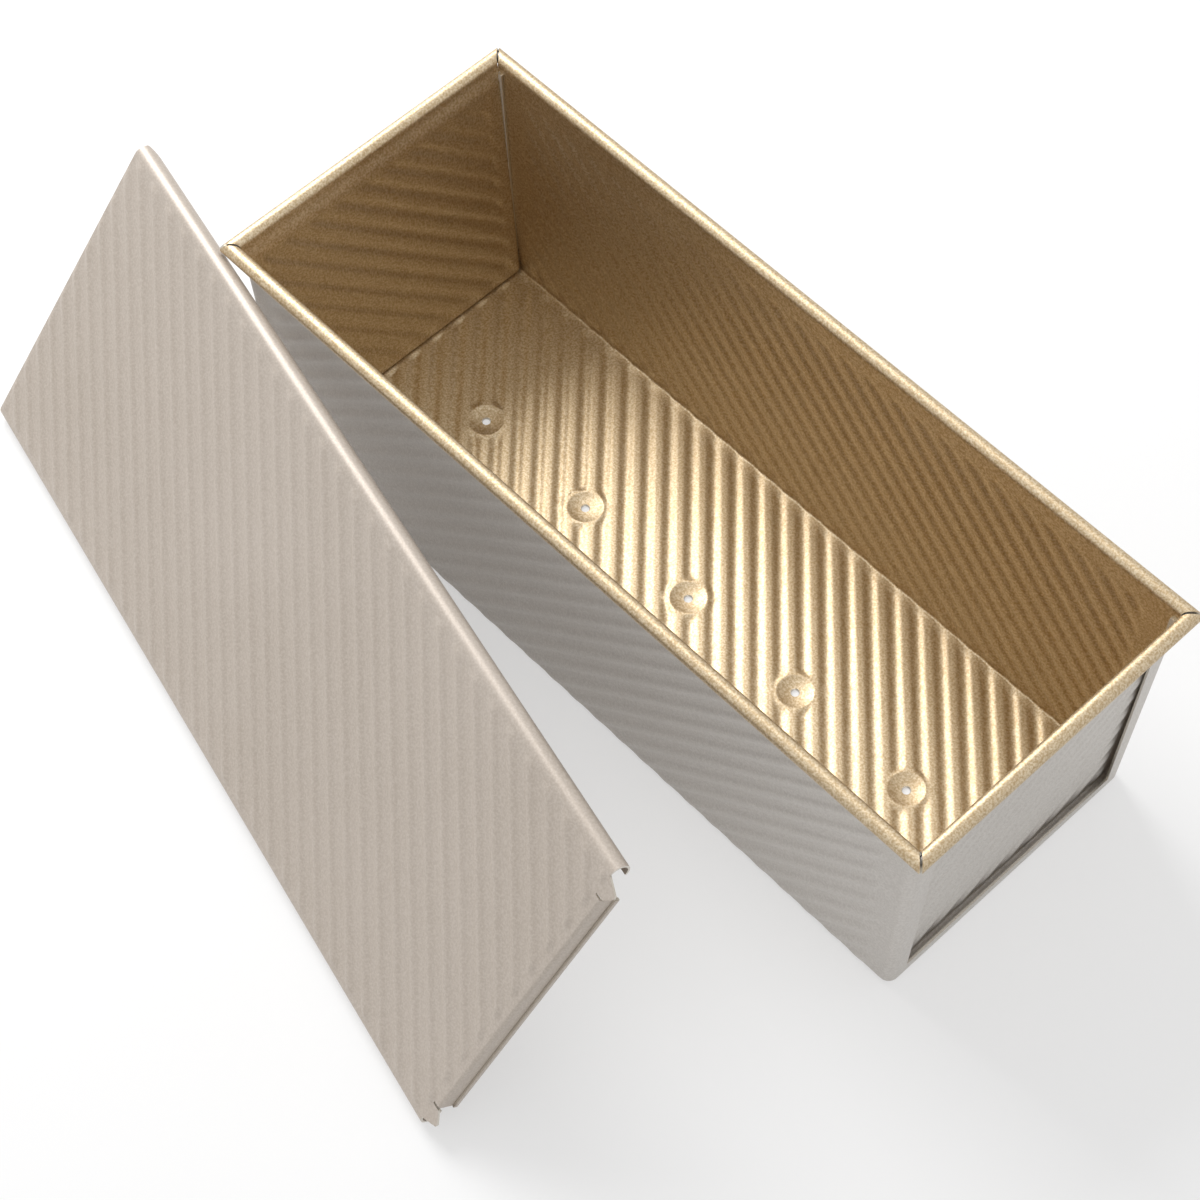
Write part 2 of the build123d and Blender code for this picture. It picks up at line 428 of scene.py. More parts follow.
@dataclass
class PressedSheet:
    """Sheet of one thickness, gathered from grids of points on its back and closed at its edges."""

    thickness: float = SHEET_THICKNESS
    backs: list[Array] = field(default_factory=list)
    fronts: list[Array] = field(default_factory=list)
    faces: list[Array] = field(default_factory=list)
    count: int = 0
    trim: Callable[[Array], Array] | None = None
    sharp_angle: float = 50.0

    def press(
        self,
        points: Array,
        normals: Array,
        rise: Array | float = 0.0,
        keep: Array | None = None,
    ) -> None:
        """Adds a grid of the sheet.

        Args:
            points: rows x columns x 3, on the back of the flat sheet.
            normals: the same shape, unit vectors from the food side to the back.
            rise: how far each point is pressed along its normal.
            keep: rows-1 x columns-1 flags of the cells that exist.
        """
        high = np.broadcast_to(np.asarray(rise, float), points.shape[:2])
        back = points + normals * high[..., None]
        front = back - normals * self.thickness
        rows, columns = points.shape[:2]
        index = self.count + np.arange(rows * columns).reshape(rows, columns)
        a, b = index[:-1, :-1], index[:-1, 1:]
        c, d = index[1:, 1:], index[1:, :-1]
        across = np.cross(back[:-1, 1:] - back[1:, :-1], back[1:, 1:] - back[:-1, :-1])
        flip = (across * normals[:-1, :-1]).sum(-1) < 0
        # Each cell is split along whichever diagonal follows the rib, so that crests stay unbroken.
        level = np.abs(high[:-1, :-1] - high[1:, 1:]) <= np.abs(high[:-1, 1:] - high[1:, :-1])
        first = np.where(level[..., None], np.stack([a, b, c], -1), np.stack([a, b, d], -1))
        second = np.where(level[..., None], np.stack([a, c, d], -1), np.stack([b, c, d], -1))
        for triangles in (first, second):
            turned = np.where(flip[..., None], triangles[..., ::-1], triangles)
            self.faces.append(turned[keep] if keep is not None else turned.reshape(-1, 3))
        self.backs.append(back.reshape(-1, 3))
        self.fronts.append(front.reshape(-1, 3))
        self.count += rows * columns

    def form(self, name: str, finishes: Skins, place: Matrix | None = None) -> bpy.types.Object:
        """Welds the grids, closes the sheet's edges and makes the object.

        Args:
            name: the piece's name.
            finishes: material of each skin.
            place: where the sheet goes, in millimetres, or None where it stands already.

        Returns:
            The new object, with its place in its mesh.
        """
        back, front = np.concatenate(self.backs), np.concatenate(self.fronts)
        keys = np.round(np.concatenate([back, front], 1) * WELDS_PER_MM).astype(np.int64)
        _, first, inverse = np.unique(keys, axis=0, return_index=True, return_inverse=True)
        back, front = back[first], front[first]
        if self.trim is not None:
            back, front = self.trim(back), self.trim(front)
        faces = inverse.reshape(-1)[np.concatenate(self.faces)]
        faces = faces[(faces != np.roll(faces, 1, 1)).all(1)]
        edges = np.concatenate([faces[:, [0, 1]], faces[:, [1, 2]], faces[:, [2, 0]]])
        _, where, times = np.unique(np.sort(edges, 1), axis=0, return_index=True, return_counts=True)
        rim = edges[where[times == 1]]
        total = len(back)
        quads = np.stack([rim[:, 1], rim[:, 0], rim[:, 0] + total, rim[:, 1] + total], 1)
        fronts = faces[:, ::-1] + total
        points = np.concatenate([back, front]) * MM
        if place is not None:
            points = points @ np.array(place.to_3x3()).T + np.array(place.translation) * MM
        mesh = bpy.data.meshes.new(name)
        mesh.from_pydata(points.tolist(), [], faces.tolist() + fronts.tolist() + quads.tolist())
        indices = np.concatenate(
            [
                np.full(len(faces), Skin.BACK.value),
                np.full(len(fronts), Skin.FOOD.value),
                np.full(len(quads), Skin.EDGE.value),
            ]
        )
        for skin in Skin:
            mesh.materials.append(finishes[skin])
        mesh.polygons.foreach_set("material_index", indices.astype(np.int32))
        mesh.validate()
        mesh.shade_smooth()
        mesh.set_sharp_from_angle(angle=math.radians(self.sharp_angle))
        mesh.update()
        return add_object(name, mesh)


def stack(x: Array | float, y: Array | float, z: Array | float) -> Array:
    """Joins three grids of coordinates into one grid of points."""
    return np.stack(np.broadcast_arrays(x, y, z), -1).astype(float)


@dataclass(frozen=True)
class RolledEdge:
    """Curl of the sheet round the rim wire, with its ends cut to a mitre."""

    reach: float
    corner: float
    mitre_gap: float = 0.6
    throat_gap: float = 0.08
    opening_turn: float = 70.0
    height: float = 110.3
    radius: float = 2.7
    start: float = 180.0
    end: float = -145.0
    rows: int = 26

    def turns(self) -> Array:
        """Angles of the curl's rows, in radians, from the wall round over the top."""
        return np.radians(np.linspace(self.start, self.end, self.rows))

    def half_run(self, out: Array, turn: Array | float) -> Array:
        """Half the length of the curl, whose mitre is shut at the throat and open over the wire.

        Args:
            out: distance out from the pan's middle.
            turn: angle on the curl, in radians.

        Returns:
            Half the length at each place.
        """
        opened = smooth((math.radians(self.start) - turn) / math.radians(self.opening_turn))
        gap = self.throat_gap + (self.mitre_gap - self.throat_gap) * opened
        return self.corner + (out - self.reach) - gap

    def widen(
        self,
        columns: Array,
        limit: Array,
        out: Array,
        neck: int,
        unused: Array | float,
        shares: Sequence[float],
    ) -> tuple[Array, Array]:
        """Adds columns that carry the rolled rows out to their mitres.

        Args:
            columns: the panel's columns, one row each.
            limit: half the length of each row.
            out: each row's distance out from the pan's middle.
            neck: count of the rows between the panel and the curl.
            unused: where the added columns end in the rows below the neck, which have no face there.
            shares: places of the added columns between a row's limit and its end.

        Returns:
            The wider rows, and flags of the cells that exist.
        """
        turns = self.turns()
        turned = np.full(len(out), math.radians(self.start))
        turned[-len(turns) :] = turns
        mitre = self.half_run(np.maximum(out, self.reach - self.radius), turned)
        plain = len(out) - neck - len(turns) - 1
        end = np.where(np.arange(len(out)) >= plain, mitre, unused)
        extra = limit[:, None] + (end - limit)[:, None] * np.array([shares])
        wide = np.concatenate([-extra[:, ::-1], columns, extra], 1)
        keep = np.ones((len(out) - 1, wide.shape[1] - 1), bool)
        keep[:plain, : len(shares)] = False
        keep[:plain, -len(shares) :] = False
        return wide, keep


@dataclass(frozen=True)
class PanBody:
    """Slopes and corner sizes of the folded pan, measured on the back of the sheet."""

    floor_z: float = 0.9
    foot_half_length: float = 154.8
    foot_half_width: float = 58.0
    end_slope: float = 5.4 / 106.3
    wall_slope: float = 2.4 / 109.4
    corner: float = 4.0
    fold: float = 1.6
    top_z: float = 107.2
    lip_z: float = 7.2
    window: float = 50.0

    def centre_x(self, z: Array | float) -> Array | float:
        """Distance along X of a vertical corner's centre at height z."""
        return self.foot_half_length - self.corner + (z - self.floor_z) * self.end_slope

    def centre_y(self, z: Array | float) -> Array | float:
        """Distance along Y of a vertical corner's centre at height z."""
        return self.foot_half_width - self.corner + (z - self.floor_z) * self.wall_slope

    def slope(self, turn: Array) -> Array:
        """Outward lean per unit of height in the direction turn, from +X towards +Y."""
        return self.end_slope * np.cos(turn) + self.wall_slope * np.sin(turn)

    def foot_rows(self, turn: Array, count: int = 6) -> tuple[Array, Array, Array, Array]:
        """Rows of the bottom fold.

        Args:
            turn: directions from the corner's centre, one for each column.
            count: rows of the fold.

        Returns:
            Distance from the corner's centre, height, and the normal's outward and upward parts.
        """
        lean = np.arctan(self.slope(turn))
        start = self.corner + self.fold * (np.tan(lean) - 1 / np.cos(lean))
        bend = np.linspace(0, 1, count)[:, None] * (math.pi / 2 - lean)[None]
        out = start[None] + self.fold * np.sin(bend)
        z = self.floor_z + self.fold * (1 - np.cos(bend))
        flat = np.zeros((1, len(turn)))
        return (
            np.concatenate([flat, out]),
            np.concatenate([flat + self.floor_z, z]),
            np.concatenate([flat, np.sin(bend)]),
            np.concatenate([flat - 1, -np.cos(bend)]),
        )

    def rows(self, turn: Array, levels: Array) -> tuple[Array, Array, Array, Array, Array]:
        """Rows of the sheet from the floor, round the bottom fold and up to the levels.

        Args:
            turn: directions from the corner's centre, one for each column.
            levels: heights of the rows above the fold.

        Returns:
            Distance from the corner's centre, the height at which that centre is taken, the row's own
            height, and the normal's outward and upward parts.
        """
        out, z, away, up = self.foot_rows(turn)
        high = levels[:, None] * np.ones(len(turn))[None]
        lean = np.arctan(self.slope(turn))[None] * np.ones((len(levels), 1))
        return (
            np.concatenate([out, np.full(high.shape, self.corner)]),
            np.concatenate([np.full(z.shape, self.floor_z), high]),
            np.concatenate([z, high]),
            np.concatenate([away, np.cos(lean)]),
            np.concatenate([up, -np.sin(lean)]),
        )


@dataclass
class PanWrap:
    """Floor and long walls in one folded sheet, with rolled edges, end flanges, end lips and vents."""

    body: PanBody = field(default_factory=PanBody)
    ribs: RibPress = field(default_factory=lambda: RibPress(phase=0.8))
    roll: RolledEdge = field(default_factory=lambda: RolledEdge(reach=62.3, corner=162.3))
    floor_field_half_length: float = 150.0
    wall_field_half_length: float = 148.6
    floor_field_taper: float = 1.6
    wall_field_taper: float = 7.0
    fold_strength: float = 0.35
    fold_taper: float = 3.0
    fold_lead: float = 1.2
    fold_shift: float = 0.4
    fold_rest: float = 1.0
    wall_foot_run: float = 57.2
    wall_start_z: float = 3.2
    wall_head: float = 104.6
    head_taper: float = 4.5
    neck_levels: tuple[float, float] = (108.2, 109.3)
    even_half_length: float = 147.2
    even_half_width: float = 50.0
    vent_spacing: float = 54.0
    vent_count: int = 5
    vent_bore: float = 3.4
    dish_width: float = 13.4
    dish_depth: float = 0.9
    dish_power: float = 2.1
    rib_fade: float = 0.42
    bore_flare: float = 0.42
    vent_cells: int = 9
    ring_radii: tuple[float, ...] = (8.4, 7.6, 7.1, 6.8, 6.5, 6.1, 5.6, 5.0, 4.4, 3.8, 3.2, 2.6, 2.1)

    def long_lines(self, limit: Array) -> Array:
        """Columns along X for each row, out to half-lengths of limit."""
        return spread(limit, self.even_half_length, self.ribs.phase, 6)

    def cross_lines(self, limit: Array) -> Array:
        """Columns along Y for each row, out to half-widths of limit."""
        return spread(limit, self.even_half_width, 0.0, 5)

    def vents(self) -> list[float]:
        """Places of the vents along the pan's middle line."""
        middle = (self.vent_count - 1) / 2
        return [(i - middle) * self.vent_spacing for i in range(self.vent_count)]

    def rib_rise(self, x: Array, run: Array) -> Array:
        """Height of the ribs, which cross the bottom folds only faintly.

        Args:
            x: place along the pan.
            run: distance across the sheet from the floor's middle, as it was before folding.

        Returns:
            Rise at each place.
        """
        away = np.abs(run)
        wall = smooth((away - self.wall_foot_run + self.fold_lead) / self.fold_taper)
        longer = self.wall_field_half_length - self.floor_field_half_length
        reach = self.floor_field_half_length + longer * wall
        taper = self.floor_field_taper + (self.wall_field_taper - self.floor_field_taper) * wall
        beside = np.abs(away - self.wall_foot_run - self.fold_shift)
        fold = smooth((beside - self.fold_rest) / self.fold_taper)
        strength = self.fold_strength + (1 - self.fold_strength) * fold
        head = self.wall_foot_run + self.wall_head - self.body.floor_z
        strength = strength * smooth((head - away) / self.head_taper)
        return self.ribs.rise(x + run) * strength * smooth((reach - np.abs(x)) / taper)

    def floor_rise(self, x: Array, y: Array) -> Array:
        """How far the floor is pressed down by its ribs and vent dishes."""
        pressed = self.rib_rise(x, y)
        for place in self.vents():
            out = np.hypot(x - place, y) / (self.dish_width / 2)
            bowl = self.dish_depth * np.clip(1 - out**self.dish_power, 0, 1)
            pressed = pressed * smooth((out - 1.0) / self.rib_fade) + bowl
        return pressed

    def lay_floor(self, sheet: PressedSheet) -> None:
        """Presses the floor, with a round opening in each vent dish."""
        x = self.long_lines(np.array([self.body.centre_x(self.body.floor_z)]))[0]
        y = self.cross_lines(np.array([self.body.centre_y(self.body.floor_z)]))[0]
        grid_x, grid_y = np.meshgrid(x, y)
        keep = np.ones((len(y) - 1, len(x) - 1), bool)
        row = int(np.argmin(np.abs(y)))
        low_row, high_row = row - self.vent_cells, row + self.vent_cells
        for place in self.vents():
            column = int(np.argmin(np.abs(x - place)))
            low, high = column - self.vent_cells, column + self.vent_cells
            keep[low_row:high_row, low:high] = False
            self.lay_vent(sheet, place, x[low : high + 1], y[low_row : high_row + 1])
        down = stack(np.zeros_like(grid_x), 0.0, -1.0)
        points = stack(grid_x, grid_y, self.body.floor_z)
        sheet.press(points, down, self.floor_rise(grid_x, grid_y), keep)

    def lay_vent(self, sheet: PressedSheet, place: float, x: Array, y: Array) -> None:
        """Presses the rings of one vent dish.

        Args:
            sheet: the sheet that the rings join.
            place: the vent's place along X.
            x: grid lines of the square that the rings fill.
            y: the square's lines across.
        """
        wide, deep = np.ones(len(x) - 1), np.ones(len(y) - 1)
        loop_x = np.concatenate([x[:-1], deep * x[-1], x[:0:-1], deep * x[0], x[:1]])
        loop_y = np.concatenate([wide * y[0], y[:-1], wide * y[-1], y[:0:-1], y[:1]])
        turn = np.arctan2(loop_y, loop_x - place)
        radii = np.array([*self.ring_radii, self.vent_bore / 2])
        ring_x = place + radii[:, None] * np.cos(turn)[None]
        ring_y = radii[:, None] * np.sin(turn)[None]
        half_x, half_y = (loop_x + ring_x[0]) / 2, (loop_y + ring_y[0]) / 2
        rings_x = np.concatenate([loop_x[None], half_x[None], ring_x])
        rings_y = np.concatenate([loop_y[None], half_y[None], ring_y])
        down = stack(np.zeros_like(rings_x), 0.0, -1.0)
        # The punch drags the top of the bore inwards, which leaves a bright flare round it.
        steep = math.sqrt(1 - self.bore_flare**2)
        down[-1] = stack(-self.bore_flare * np.cos(turn), -self.bore_flare * np.sin(turn), -steep)
        points = stack(rings_x, rings_y, self.body.floor_z)
        sheet.press(points, down, self.floor_rise(rings_x, rings_y))

    def wall_levels(self) -> list[float]:
        """Heights of the walls' rows, aligned with the ribs that cross from the floor."""
        phase = self.body.floor_z - self.wall_foot_run
        lower = rows_between(self.wall_start_z, self.body.lip_z, phase)
        middle = rows_between(self.body.lip_z, self.wall_head, phase)[1:]
        return lower + middle + [self.body.top_z]

    def raise_wall(self, sheet: PressedSheet, side: int) -> None:
        """Presses a long wall from the floor's edge up to the end of its roll.

        Args:
            sheet: the sheet that the wall joins.
            side: +1 for the far long wall, -1 for the one beside the lid.
        """
        body, roll = self.body, self.roll
        levels = np.array(self.wall_levels())
        straight = np.concatenate([levels, self.neck_levels])
        profile = body.rows(np.array([math.pi / 2]), straight)
        out, centre_z, upright, away, up = (part[:, 0] for part in profile)
        foot = len(out) - len(straight)
        turns = roll.turns()
        inner = roll.radius - sheet.thickness
        y = np.concatenate([body.centre_y(centre_z) + out, roll.reach + inner * np.cos(turns)])
        height = np.concatenate([upright, roll.height + inner * np.sin(turns)])
        normal_y = np.concatenate([away, -np.cos(turns)])
        normal_z = np.concatenate([up, -np.sin(turns)])
        top_limit = float(body.centre_x(body.top_z))
        neck = len(self.neck_levels)
        limit = np.concatenate([body.centre_x(centre_z[:-neck]), np.full(neck + len(turns), top_limit)])
        columns, keep = roll.widen(
            self.long_lines(limit),
            limit,
            y - normal_y * sheet.thickness,
            neck,
            top_limit + SEAM_LAP,
            (0.5, 1.0),
        )
        points = stack(columns, side * y[:, None], height[:, None])
        normals = stack(np.zeros_like(columns), side * normal_y[:, None], normal_z[:, None])
        run = self.wall_foot_run + height - body.floor_z
        run[1:foot] = y[1] + (run[foot - 1] - y[1]) * np.linspace(0, 1, foot - 1)
        run[0] = y[0]
        run[-len(turns) :] = self.wall_foot_run + roll.height
        sheet.press(points, normals, self.rib_rise(columns, side * run[:, None]), keep)

    def turn_corner(self, sheet: PressedSheet, along: int, side: int) -> None:
        """Presses a vertical corner from the floor to the top of the body.

        Args:
            sheet: the sheet that the corner joins.
            along: +1 for the near end, -1 for the far end.
            side: +1 for the far long wall, -1 for the one beside the lid.
        """
        body = self.body
        turn = np.linspace(0, math.pi / 2, 11)
        out, centre_z, height, away, up = body.rows(turn, np.array(self.wall_levels()))
        x = body.centre_x(centre_z) + out * np.cos(turn)
        y = body.centre_y(centre_z) + out * np.sin(turn)
        points = stack(along * x, side * y, height)
        normals = stack(along * away * np.cos(turn), side * away * np.sin(turn), up)
        sheet.press(points, normals)

    def fold_end(self, sheet: PressedSheet, along: int) -> None:
        """Presses the lip of the floor and both flanges round the window of one end."""
        body = self.body
        profile = body.rows(np.array([0.0]), np.array(self.wall_levels()))
        out, centre_z, height, away, up = (part[:, 0] for part in profile)
        x = body.centre_x(centre_z) + out
        limit = body.centre_y(centre_z)
        columns = self.cross_lines(limit)
        middle = (columns[:-1, :-1] + columns[:-1, 1:]) / 2
        rise_above = (height[:-1] >= body.lip_z - 1e-6)[:, None]
        keep = ~(rise_above & (np.abs(middle) < body.window))
        points = stack(along * x[:, None], columns, height[:, None])
        normals = stack(along * away[:, None] * np.ones_like(columns), 0.0, up[:, None])
        sheet.press(points, normals, 0.0, keep)

    def build(self, finishes: Skins) -> bpy.types.Object:
        """Presses and folds the whole wrap.

        Args:
            finishes: material of each skin.

        Returns:
            The finished piece, which stands for its CAD node.
        """
        sheet = PressedSheet()
        self.lay_floor(sheet)
        for side in (1, -1):
            self.raise_wall(sheet, side)
            for along in (1, -1):
                self.turn_corner(sheet, along, side)
        for along in (1, -1):
            self.fold_end(sheet, along)
        piece = sheet.form("folded_pan_sheet", finishes)
        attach(piece, Rider.PAN.value)
        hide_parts("pan_wrap")
        return piece


@dataclass
class EndPanel:
    """Separate end: a shallow tray that closes the wrap's end, with its top rolled round the wire."""

    end: End
    ribs: RibPress = field(default_factory=lambda: RibPress(phase=3.1))
    roll: RolledEdge = field(default_factory=lambda: RolledEdge(reach=162.3, corner=62.3))
    foot_x: float = 150.2
    slope: float = 7.8 / 106.4
    foot_z: float = 1.85
    floor_z: float = 0.9
    foot_half_width: float = 57.05
    side_slope: float = 2.4 / 109.4
    corner: float = 2.4
    fold: float = 1.6
    side_flange_x: float = 151.4
    foot_flange_x: float = 153.5
    flange_slope: float = 5.4 / 106.3
    rib_middle_z: float = 53.0
    field_half_width: float = 53.4
    field_foot: float = 3.6
    field_head: float = 103.0
    taper: float = 3.6
    neck_z: float = 107.3
    throat_z: float = 102.5
    throat_steps: tuple[float, ...] = (1.2, 2.4, 3.6)
    neck_drop: float = 0.1
    neck_shares: tuple[float, ...] = (0.2, 0.4, 0.6, 0.8)
    cover: float = 0.3
    even_half_width: float = 52.4

    def face_x(self, z: Array) -> Array:
        """Distance along X of the food side at height z, which eases out to meet the roll."""
        straight = self.foot_x + (z - self.floor_z) * self.slope
        roll = self.roll
        step = roll.reach - roll.radius - self.foot_x - (roll.height - self.floor_z) * self.slope
        return straight + step * smooth((z - self.throat_z) / (roll.height - self.throat_z))

    def half_width(self, z: Array) -> Array:
        """Half the tray's outer width at height z."""
        return self.foot_half_width + (z - self.floor_z) * self.side_slope

    def tuck_in(self, points: Array) -> Array:
        """Keeps the tray's edges behind the wrap's rounded corners and flanges.

        Args:
            points: points of one skin.

        Returns:
            The points, drawn in where the wrap lies over them.
        """
        body = PanBody()
        x, y, z = points[:, 0].copy(), points[:, 1].copy(), points[:, 2]
        below = z < body.top_z
        covered = below & ((z < body.lip_z) | (np.abs(y) > body.window))
        x = np.where(covered, np.minimum(x, body.centre_x(z) + body.corner - self.cover), x)
        dx, dy = x - body.centre_x(z), np.abs(y) - body.centre_y(z)
        out = np.hypot(dx, dy)
        room = body.corner - self.cover
        tight = below & (dx > 0) & (dy > 0) & (out > room)
        scale = np.where(tight, room / np.maximum(out, room), 1.0)
        x = np.where(tight, body.centre_x(z) + dx * scale, x)
        y = np.where(tight, np.sign(y) * (body.centre_y(z) + dy * scale), y)
        return np.stack([x, y, z], 1)

    def lines(self, limit: Array) -> Array:
        """Columns along Y for each row, out to half-widths of limit."""
        return spread(limit, self.even_half_width, self.ribs.phase, 6)

    def lean(
        self,
        depth: Array,
        normal: tuple[Array, Array, Array],
        y: Array,
        z: Array,
    ) -> tuple[Array, Array]:
        """Tilts a place on the upright tray to the panel's slope.

        Args:
            depth: how far behind the panel's food side the food side of the place is.
            normal: the upright tray's normal there.
            y: the place across the pan.
            z: the place's height.

        Returns:
            Points on the back of the sheet, and their normals.
        """
        nx, ny, nz = np.broadcast_arrays(*normal)
        nz = nz - nx * self.slope
        size = np.sqrt(nx**2 + ny**2 + nz**2)
        normals = stack(nx / size, ny / size, nz / size)
        front = stack(self.face_x(z) + depth, y, z)
        return front + normals * SHEET_THICKNESS, normals

    def build(self, name: str, node: str, finishes: Skins) -> bpy.types.Object:
        """Presses the panel, its folded flanges and its rolled top.

        Args:
            name: the piece's name.
            node: the CAD node that it stands for.
            finishes: material of each skin.

        Returns:
            The finished piece.
        """
        sheet = PressedSheet(trim=self.tuck_in)
        low = self.foot_z + self.corner
        upper = [*(self.throat_z + step for step in self.throat_steps), self.neck_z - self.neck_drop]
        levels = np.array([low, *rows_between(low, self.throat_z, self.rib_middle_z)[1:], *upper])
        panel_limit = self.half_width(levels) - self.corner
        roll = self.roll
        turns = roll.turns()
        rim_x = roll.reach + roll.radius * np.cos(turns)
        rim_z = roll.height + roll.radius * np.sin(turns)
        neck_z = levels[-1] + (roll.height - levels[-1]) * np.array(self.neck_shares)
        neck_x = self.face_x(neck_z)
        x = np.concatenate([self.face_x(levels), neck_x, rim_x])
        z = np.concatenate([levels, neck_z, rim_z])
        step_x, step_z = np.gradient(x), np.gradient(z)
        size = np.hypot(step_x, step_z)
        normal_x, normal_z = step_z / size, -step_x / size
        flat = math.hypot(1, self.slope)
        normal_x[: len(levels)], normal_z[: len(levels)] = 1 / flat, -self.slope / flat
        normal_x[-len(turns) :], normal_z[-len(turns) :] = -np.cos(turns), -np.sin(turns)
        rolled = np.full(len(neck_z) + len(turns), panel_limit[-1])
        limit = np.concatenate([panel_limit, rolled])
        columns, keep = roll.widen(
            self.lines(limit), limit, x, len(neck_z), limit + SEAM_LAP, (0.34, 0.67, 1.0)
        )
        normals = stack(normal_x[:, None] * np.ones_like(columns), 0.0, normal_z[:, None])
        points = stack(x[:, None], columns, z[:, None]) + normals * sheet.thickness
        rise = self.ribs.rise(columns - (z[:, None] - self.rib_middle_z))
        rise = rise * run_out(columns, -self.field_half_width, self.field_half_width, self.taper)
        rise = rise * run_out(z[:, None], self.field_foot, self.field_head, self.taper)
        sheet.press(points, normals, rise, keep)
        self.fold_flanges(sheet, levels)
        turn = Matrix.Rotation(self.end.value, 4, "Z")
        piece = sheet.form(name, finishes, turn)
        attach(piece, Rider.PAN.value)
        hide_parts(node)
        return piece

    def fold_flanges(self, sheet: PressedSheet, levels: Array) -> None:
        """Folds the tray's sides and foot away from the cavity.

        Args:
            sheet: the sheet that the flanges join.
            levels: heights of the panel's rows.
        """
        bend = np.linspace(0, math.pi / 2, 6)
        profile = (
            np.concatenate([[0.0], self.corner - self.fold + self.fold * np.sin(bend)]),
            np.concatenate([[0.0], self.fold * (1 - np.cos(bend))]),
            np.concatenate([[0.0], np.sin(bend)]),
            np.concatenate([[1.0], np.cos(bend)]),
        )
        low = self.foot_z + self.corner
        turn = np.linspace(0, math.pi / 2, 7)
        across = self.lines(np.array([self.half_width(low) - self.corner]))[0]
        tall, wide = np.ones(len(levels)), np.ones(len(across))
        longer = self.foot_flange_x - self.side_flange_x
        corner_x = self.side_flange_x + longer * smooth(turn / turn[-1])
        for side in (1, -1):
            self.flange(
                sheet,
                lambda r, side=side: side * (self.half_width(levels) - self.corner + r),
                lambda r: levels + 0 * r,
                (side * tall, 0 * tall),
                profile,
                self.side_flange_x,
            )
            self.flange(
                sheet,
                lambda r, side=side: side * (self.half_width(low) - self.corner + r * np.cos(turn)),
                lambda r: low - r * np.sin(turn),
                (side * np.cos(turn), -np.sin(turn)),
                profile,
                corner_x,
            )
        self.flange(
            sheet,
            lambda r: across + 0 * r,
            lambda r: low - r + 0 * across,
            (0 * wide, -wide),
            profile,
            self.foot_flange_x,
        )

    def flange(
        self,
        sheet: PressedSheet,
        place_y: Callable[[float], Array],
        place_z: Callable[[float], Array],
        away: tuple[Array, Array],
        profile: tuple[Array, Array, Array, Array],
        reach_x: Array | float,
    ) -> None:
        """Folds one stretch of flange.

        Args:
            sheet: the sheet that it joins.
            place_y: the stretch's Y at a distance out from the panel's flat.
            place_z: its Z there.
            away: outward direction of the stretch in Y and Z.
            profile: distance out, depth and the normal's parts of each row of the fold.
            reach_x: how far along X the flange's edge comes at the foot.
        """
        points, normals = [], []
        for r, depth, inward, outward in zip(*profile):
            y, z = place_y(r), place_z(r)
            normal = (outward + 0 * y, -inward * away[0], -inward * away[1])
            point, way = self.lean(depth + 0 * y, normal, y, z)
            points.append(point)
            normals.append(way)
        last_y, last_z = place_y(self.corner), place_z(self.corner)
        reach = reach_x + (last_z - self.floor_z) * self.flange_slope
        end = reach - self.face_x(last_z)
        for share in (0.5, 1.0):
            depth = self.fold + (end - self.fold) * share
            point, way = self.lean(depth, (0 * last_y, -away[0], -away[1]), last_y, last_z)
            points.append(point)
            normals.append(way)
        sheet.press(np.array(points), np.array(normals))


